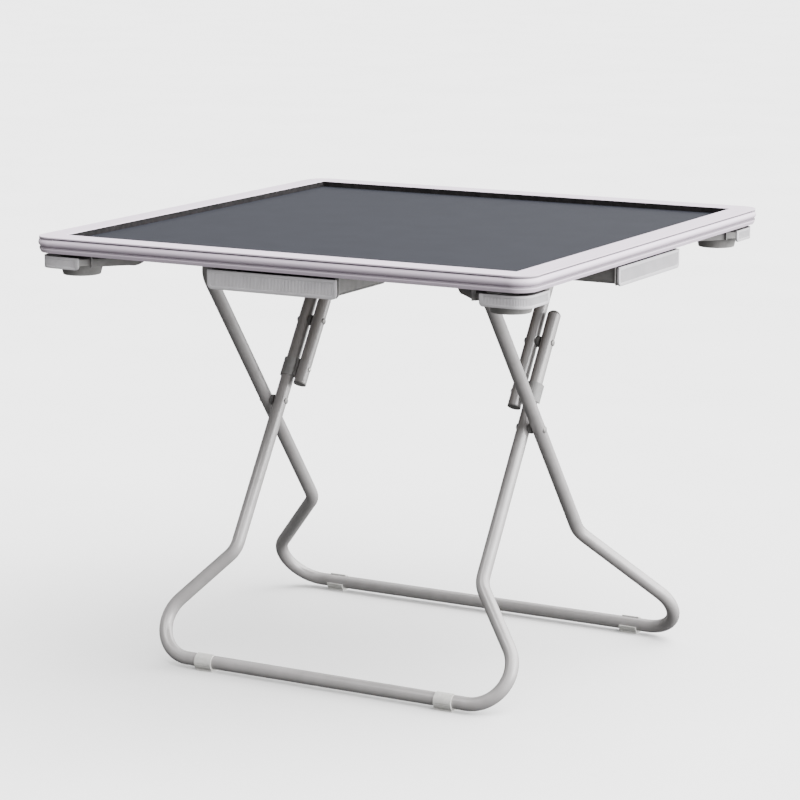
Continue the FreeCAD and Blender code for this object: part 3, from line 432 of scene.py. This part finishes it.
for quarter, name in enumerate(corner_names):
    bm = bmesh.new()
    cover_end_blocks(bm)
    cover_strip(bm)
    break_edges(bm)
    for index in range(cover_rib_count):
        place = cover_rib_place((index + 0.5) * ribbed_run / cover_rib_count)
        rib(bm, place.x, place.y, cover_low.z + cover_border, cover_high.z - cover_border)
    turn(bm, bm.verts, quarter)
    make_piece(bm, "ribbed_cup_front_" + name, "cup_" + name, "front", front_plastic, "cup_front_" + name)


# Hinge straps: strips of sheet steel bent under the frames' top bars.
# They are coated grey and screwed to the board on both sides of the bar.

strap_coat = finish("strap_coat", dark=(0.20, 0.20, 0.205), light=(0.25, 0.25, 0.255),
                    mottle=0.01, roughness=(0.36, 0.48), grain=0.0007, relief=0.00004, metallic=0.25)
dress(strap_coat, "rear_hinge_straps", "link_hinge_straps")


# Wood screws: zinc-plated pan heads with a cross recess, driven up into the
# board through the straps, the ears of the housings and the corners' floors.

recess_arm = 0.0007
recess_depth = 0.0009
recess_cells = 5
screw_head_height = 0.0018
screw_shank_radius = 0.00175
head_radius_and_height_shares = ((0.72, 0.97), (0.92, 0.72), (1.0, 0.35), (1.0, 0.0))
zinc = finish("zinc_plate", dark=(0.42, 0.41, 0.39), light=(0.58, 0.57, 0.55),
              mottle=0.002, roughness=(0.24, 0.40), grain=0.0005, relief=0.00003, metallic=1.0)


def islands(name):
    """Low and high corner of each separate solid of a CAD node."""
    bm = bmesh.new()
    bm.from_mesh(nodes[name].data)
    bmesh.ops.remove_doubles(bm, verts=bm.verts, dist=weld)
    left = set(bm.verts)
    found = []
    while left:
        reached = [left.pop()]
        for vert in reached:
            for edge in vert.link_edges:
                other = edge.other_vert(vert)
                if other in left:
                    left.remove(other)
                    reached.append(other)
        spread = [[v.co[axis] for v in reached] for axis in range(3)]
        found.append((Vector([min(s) for s in spread]), Vector([max(s) for s in spread])))
    bm.free()
    return found


def pan_head_screw(bm, radius, shank_length):
    """Screw on its seat at the origin, head down and shank up."""
    made = bmesh.ops.create_grid(bm, x_segments=recess_cells, y_segments=recess_cells,
                                 size=recess_arm * recess_cells / 2)["verts"]
    faces = {f for v in made for f in v.link_faces}
    edges = [e for e in {e for f in faces for e in f.edges} if len(e.link_faces) == 1]
    cross = [f for f in faces if sum(abs(c) for c in f.calc_center_median().xy) < recess_arm * 1.5]
    for vert in made:
        vert.co.z = -screw_head_height
    sunk = bmesh.ops.extrude_face_region(bm, geom=cross)["geom"]
    bmesh.ops.translate(bm, verts=only(BMVert, sunk), vec=(0, 0, recess_depth))
    bmesh.ops.delete(bm, geom=[f for f in cross if f.is_valid], context="FACES_ONLY")
    for radius_share, height_share in head_radius_and_height_shares:
        grown = bmesh.ops.extrude_edge_only(bm, edges=edges)["geom"]
        edges = only(BMEdge, grown)
        for vert in only(BMVert, grown):
            flat = vert.co.xy.normalized() * radius * radius_share
            vert.co = (flat.x, flat.y, -screw_head_height * height_share)
    bmesh.ops.contextual_create(bm, geom=edges)
    bmesh.ops.create_cone(bm, cap_ends=True, segments=12, radius1=screw_shank_radius,
                          radius2=screw_shank_radius / 2, depth=shank_length,
                          matrix=Matrix.Translation((0, 0, shank_length / 2)))


for name in ("corner_screws", "drawer_housing_screws", "cup_housing_screws", "hinge_strap_screws"):
    bm = bmesh.new()
    for low, high in islands(name):
        done = set(bm.verts)
        pan_head_screw(bm, (high.x - low.x) / 2, high.z - low.z - screw_head_height)
        seat = ((low.x + high.x) / 2, (low.y + high.y) / 2, low.z + screw_head_height)
        bmesh.ops.translate(bm, verts=[v for v in bm.verts if v not in done], vec=seat)
    make_piece(bm, "cross_" + name, "table_top", "screw", zinc, name)


# Leg frames and link: round steel tube bent cold on a tube bender.
# They are sprayed with silver-grey powder coat that has a faint orange peel.

powder_coat = finish("silver_powder_coat", dark=(0.285, 0.274, 0.272), light=(0.320, 0.308, 0.306),
                     mottle=0.02, roughness=(0.20, 0.28), grain=0.0014, relief=0.00003, metallic=0.15,
                     specular=0.6)
dress(powder_coat, "rear_leg_frame", "front_leg_frame", "link_frame")


# Pivot rivets: headed steel pins through the crossing tubes, coated grey.
# Their domed heads are pressed on, so they turn freely but never come out.
# The snap clips' small zinc screws have domed heads as well.

pin_radius = 0.004
rivet_head_radius = 0.0055
rivet_head_rise = 0.0020
crossing_head_in_cad = 0.0035
low_head_in_cad = 0.0025
clip_screw_radius = 0.002
clip_screw_head_radius = 0.004
clip_screw_head_rise = 0.0018
dome_steps = 6
lie_along_x = Matrix.Rotation(math.radians(90), 4, "Y")
rivet_steel = finish("rivet_steel", dark=(0.22, 0.214, 0.208), light=(0.27, 0.263, 0.256),
                     mottle=0.004, roughness=(0.40, 0.52), grain=0.0006, relief=0.00003, metallic=0.45)


def dome(bm, foot, rise, radius, y, z):
    """Domed head on the plane x = foot, rising along X."""
    outline = []
    for step in range(dome_steps + 1):
        angle = math.radians(90 * step / dome_steps)
        outline.append(bm.verts.new((foot + rise * math.sin(angle), y + radius * math.cos(angle), z)))
    outline.append(bm.verts.new((foot, y, z)))
    edges = [bm.edges.new(ends) for ends in zip(outline, outline[-1:] + outline[:-1])]
    bmesh.ops.spin(bm, geom=outline + edges, cent=(0, y, z), axis=(1, 0, 0), angle=math.radians(360),
                   steps=28, use_merge=True)


def domed_pins(name, body, outer_head_in_cad, inner_head_in_cad, slot="rivet", material=rivet_steel,
               radius=pin_radius, head_radius=rivet_head_radius, head_rise=rivet_head_rise):
    """Pins along X with domed heads on the CAD heads' seats. No CAD head leaves that end plain."""
    bm = bmesh.new()
    for low, high in islands(name):
        side = 1 if low.x + high.x > 0 else -1
        outer, inner = (high.x, low.x) if side > 0 else (low.x, high.x)
        y = (low.y + high.y) / 2
        z = (low.z + high.z) / 2
        outer_seat = outer - side * outer_head_in_cad
        inner_seat = inner + side * inner_head_in_cad
        if outer_head_in_cad:
            dome(bm, outer_seat, side * head_rise, head_radius, y, z)
        if inner_head_in_cad:
            dome(bm, inner_seat, -side * head_rise, head_radius, y, z)
        middle = Matrix.Translation(((outer_seat + inner_seat) / 2, y, z))
        bmesh.ops.create_cone(bm, cap_ends=True, segments=20, radius1=radius, radius2=radius,
                              depth=abs(outer_seat - inner_seat), matrix=middle @ lie_along_x)
    bmesh.ops.remove_doubles(bm, verts=bm.verts, dist=weld)
    make_piece(bm, "domed_" + name, body, slot, material, name)


domed_pins("rear_pivot_rivets", "rear_leg", crossing_head_in_cad, 0)
domed_pins("front_pivot_rivets", "front_leg", 0, low_head_in_cad)
domed_pins("link_pivot_rivets", "link", low_head_in_cad, low_head_in_cad)
domed_pins("snap_clip_screws", "link", 0, clip_screw_head_rise, slot="screw", material=zinc,
           radius=clip_screw_radius, head_radius=clip_screw_head_radius, head_rise=clip_screw_head_rise)


# Spacers: moulded nylon washers that keep two leg tubes apart at a rivet.
# They are a darker grey than the tubes and polished by the turning.

nylon = finish("grey_nylon", dark=(0.12, 0.118, 0.116), light=(0.16, 0.157, 0.154),
               mottle=0.005, roughness=(0.34, 0.46), grain=0.0006, relief=0.00003)
dress(nylon, "rear_pivot_spacers", "link_spacers")


# Tube plugs: dark grey plastic, pushed into the open tube ends.
# The front legs' plugs are domed; the link's are flat caps.

plug_plastic = finish("plug_plastic", dark=(0.115, 0.112, 0.108), light=(0.15, 0.146, 0.142),
                      mottle=0.006, roughness=(0.42, 0.56), grain=0.0006, relief=0.00006)
dress(plug_plastic, "front_leg_plugs", "link_plugs")


# Snap clips: moulded grey hooks screwed on the link tubes. They are taken
# to grip the front legs when the table stands open.

snap_plastic = finish("snap_plastic", dark=(0.19, 0.188, 0.186), light=(0.235, 0.232, 0.23),
                      mottle=0.008, roughness=(0.42, 0.55), grain=0.0006, relief=0.00005)
dress(snap_plastic, "snap_clip_right", "snap_clip_left")


# Foot clips: ribbed rubber shoes pushed up over the foot bars.
# They are light grey, matt and a little dusty, and stand flat on the floor.

foot_clips = [leg + "_foot_clip_" + side for leg in ("rear", "front") for side in ("right", "left")]
clip_rubber = finish("foot_rubber", dark=(0.44, 0.435, 0.415), light=(0.53, 0.525, 0.505),
                     mottle=0.006, roughness=(0.66, 0.82), grain=0.0008, relief=0.00008, specular=0.3)
dress(clip_rubber, *foot_clips)


# Studio: a wide sheet of pale paper as floor, and a soft sky, brighter to the
# right. Three softboxes light the whole table and a fourth its leg frames and
# foot clips. The camera stands where the photo was taken.

floor_reach = 60
sky_places_and_glows = ((0.0, 0.12), (0.35, 0.28), (0.52, 0.50), (0.75, 2.8), (1.0, 11.0))
sky_peak = sky_places_and_glows[-1][1]
sky_brightest = Vector((0.64, 0.27, 0.72)).normalized()

paper = finish("pale_paper", dark=(0.86, 0.86, 0.86), light=(0.90, 0.90, 0.90),
               mottle=0.5, roughness=(0.9, 0.95), grain=0.01, relief=0.0)
bm = bmesh.new()
bmesh.ops.create_grid(bm, x_segments=1, y_segments=1, size=floor_reach)
floor_mesh = bpy.data.meshes.new("floor")
bm.to_mesh(floor_mesh)
bm.free()
floor_mesh.materials.append(paper)
floor = bpy.data.objects.new("floor", floor_mesh)
floor.visible_diffuse = False
floor.visible_glossy = False
bpy.context.scene.collection.objects.link(floor)

sky = bpy.data.worlds.new("studio_sky")
sky.use_nodes = True
tree = sky.node_tree
direction = tree.nodes.new("ShaderNodeTexCoord")
towards = tree.nodes.new("ShaderNodeVectorMath")
towards.operation = "DOT_PRODUCT"
towards.inputs[1].default_value = sky_brightest
spread = tree.nodes.new("ShaderNodeMapRange")
spread.inputs["From Min"].default_value = -1
spread.inputs["From Max"].default_value = 1
glow = grey_ramp(tree, [(place, value / sky_peak) for place, value in sky_places_and_glows])
tree.links.new(direction.outputs["Generated"], towards.inputs[0])
tree.links.new(towards.outputs["Value"], spread.inputs["Value"])
tree.links.new(spread.outputs["Result"], glow.inputs["Fac"])
tree.links.new(glow.outputs["Color"], tree.nodes["Background"].inputs["Color"])
tree.nodes["Background"].inputs["Strength"].default_value = sky_peak
bpy.context.scene.world = sky

whole_table = bpy.data.collections.new("lit_by_softboxes")
for shown in list(bpy.context.scene.collection.all_objects):
    if shown.type == "MESH" and shown != floor:
        whole_table.objects.link(shown)
legs_and_feet = bpy.data.collections.new("lit_by_leg_softbox")
for name in ("rear_leg_frame", "front_leg_frame", *foot_clips):
    legs_and_feet.objects.link(nodes[name])


def softbox(name, place, aim, width, height, power, colour, receivers):
    """Softbox that lights only these receivers, and never the floor."""
    lamp = bpy.data.lights.new(name, "AREA")
    lamp.shape = "RECTANGLE"
    lamp.size = width
    lamp.size_y = height
    lamp.energy = power
    lamp.color = colour
    holder = bpy.data.objects.new(name, lamp)
    holder.location = place
    holder.rotation_euler = (Vector(aim) - Vector(place)).to_track_quat("-Z", "Y").to_euler()
    bpy.context.scene.collection.objects.link(holder)
    holder.light_linking.receiver_collection = receivers


softbox("right_softbox", place=(4.2, -0.4, 1.5), aim=(0, 0, 0.45), width=2.6, height=2.2,
        power=90, colour=(0.985, 0.975, 1.0), receivers=whole_table)
softbox("left_softbox", place=(-4.0, -0.6, 1.0), aim=(0, 0, 0.4), width=1.6, height=1.8,
        power=9, colour=(1.0, 0.99, 1.0), receivers=whole_table)
softbox("leg_softbox", place=(-0.8, -2.4, 3.2), aim=(0, 0, 0.1), width=1.2, height=1.2,
        power=30, colour=(1.0, 0.99, 0.995), receivers=legs_and_feet)
softbox("top_softbox", place=(0.6, 0.4, 3.6), aim=(0, 0, 0.6), width=2.6, height=2.6,
        power=40, colour=(1.0, 0.99, 1.0), receivers=whole_table)

azimuth = math.radians(29.16)
tilt = math.radians(11.33)
lean = math.radians(0.076)
forward = Vector((-math.sin(azimuth) * math.cos(tilt), math.cos(azimuth) * math.cos(tilt), -math.sin(tilt)))
lens = bpy.data.cameras.new("camera")
lens.lens = 128.17
lens.sensor_width = 36
camera = bpy.data.objects.new("camera", lens)
camera.location = (2.2384, -4.0427, 1.3478)
camera.rotation_euler = (forward.to_track_quat("-Z", "Y") @ Quaternion((0, 0, 1), -lean)).to_euler()
bpy.context.scene.collection.objects.link(camera)
bpy.context.scene.camera = camera
